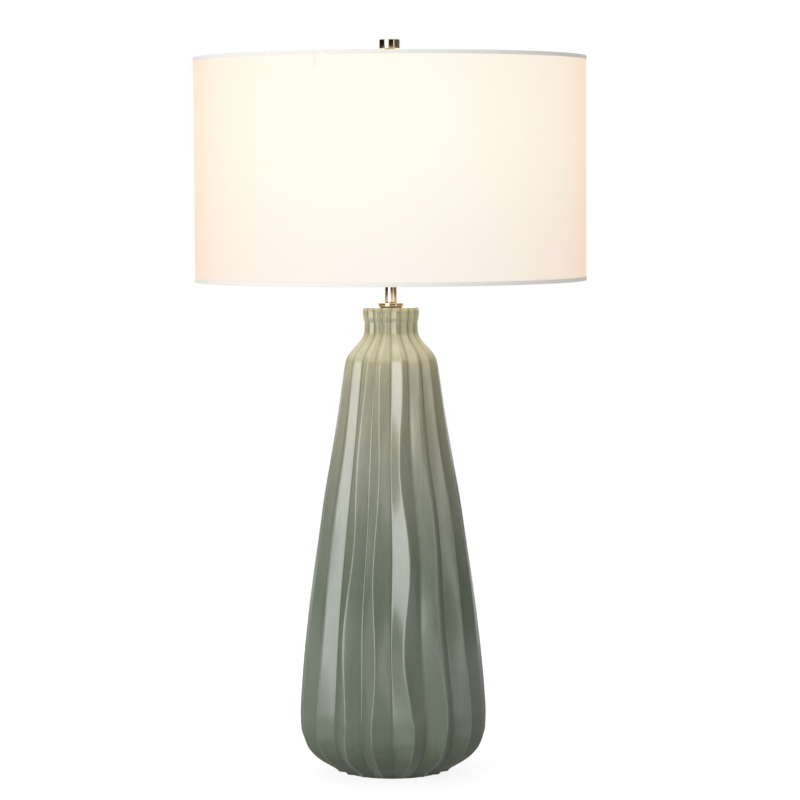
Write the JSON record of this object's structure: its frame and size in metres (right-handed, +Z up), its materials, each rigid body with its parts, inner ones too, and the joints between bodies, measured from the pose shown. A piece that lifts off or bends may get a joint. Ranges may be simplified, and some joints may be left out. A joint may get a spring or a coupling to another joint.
{
  "type": "table lamp",
  "caption": "Table lamp with a tall fluted ceramic body, a short metal neck, a lampholder with turn knob and LED bulb, a harp, a drum shade and a finial.",
  "frame": {"origin": "middle of the felt pad's lower face, on the table", "axes": "+Z up the lamp's axis, -Y to the front as pictured, +X to the right seen from the front"},
  "size_m": [0.4571, 0.4572, 0.8586],
  "materials": {
    "felt": "matte",
    "celadon_glaze": "satin",
    "clear_grey_plastic": "satin",
    "zinc_steel": "satin",
    "gasket_rubber": "matte",
    "polished_nickel": "polished",
    "liner_board": "matte",
    "dark_phenolic": "gloss",
    "brass_fittings": "satin",
    "bare_aluminium": "satin",
    "bulb_cap_metal": "satin",
    "white_plastic": "satin",
    "led_board": "matte",
    "lit_opal": "satin",
    "white_wire": "satin",
    "shade_fabric": "matte",
    "hem_fabric": "matte"
  },
  "bodies": {
    "base": {"felt_pad": "felt", "ceramic_body": "celadon_glaze", "cord_bush": "clear_grey_plastic", "bottom_washer": "zinc_steel", "bottom_lock_washer": "zinc_steel", "bottom_nut": "zinc_steel", "threaded_rod": "zinc_steel", "neck_gasket": "gasket_rubber", "check_ring": "polished_nickel", "neck_tube": "polished_nickel", "saddle_nut": "polished_nickel", "harp_saddle": "polished_nickel", "lampholder_cap": "polished_nickel", "lampholder_shell": "polished_nickel", "lampholder_liner": "liner_board", "lampholder_insulator": "dark_phenolic", "terminal_screws": "brass_fittings", "screw_shell": "bare_aluminium", "centre_contact": "brass_fittings"},
    "knob": {"switch_shaft": "brass_fittings", "switch_knob": "dark_phenolic"},
    "bulb": {"bulb_contact": "zinc_steel", "bulb_insulator": "dark_phenolic", "bulb_cap": "bulb_cap_metal", "bulb_collar": "white_plastic", "led_board": "led_board", "bulb_globe": "lit_opal"},
    "harp": {"harp_wire": "polished_nickel", "harp_bracket": "polished_nickel", "harp_stud": "polished_nickel"},
    "sleeve_left": {"harp_sleeve_left": "polished_nickel"},
    "sleeve_right": {"harp_sleeve_right": "polished_nickel"},
    "shade": {"shade_spider": "white_wire", "shade_bottom_ring": "white_wire", "shade_panel": "shade_fabric", "shade_hem_top": "hem_fabric", "shade_hem_bottom": "hem_fabric"},
    "finial": {"finial": "polished_nickel"}
  },
  "joints": [
    {"name": "switch_turn", "type": "hinge", "parent": "base", "child": "knob", "pos_m": [0, -0.012, 0.628], "axis": [0, -1, 0], "continuous": true},
    {"name": "bulb_lift", "type": "slide", "parent": "base", "child": "bulb", "axis": [0, 0, 1], "range_m": [0, 0.03]},
    {"name": "harp_lift", "type": "slide", "parent": "base", "child": "harp", "axis": [0, 0, 1], "range_m": [0, 0.03]},
    {"name": "sleeve_left_lift", "type": "slide", "parent": "harp", "child": "sleeve_left", "axis": [0, 0, 1], "range_m": [0, 0.014]},
    {"name": "sleeve_right_lift", "type": "slide", "parent": "harp", "child": "sleeve_right", "axis": [0, 0, 1], "range_m": [0, 0.014]},
    {"name": "shade_lift", "type": "slide", "parent": "harp", "child": "shade", "axis": [0, 0, 1], "range_m": [0, 0.27]},
    {"name": "finial_lift", "type": "slide", "parent": "shade", "child": "finial", "axis": [0, 0, 1], "range_m": [0, 0.02]}
  ]
}
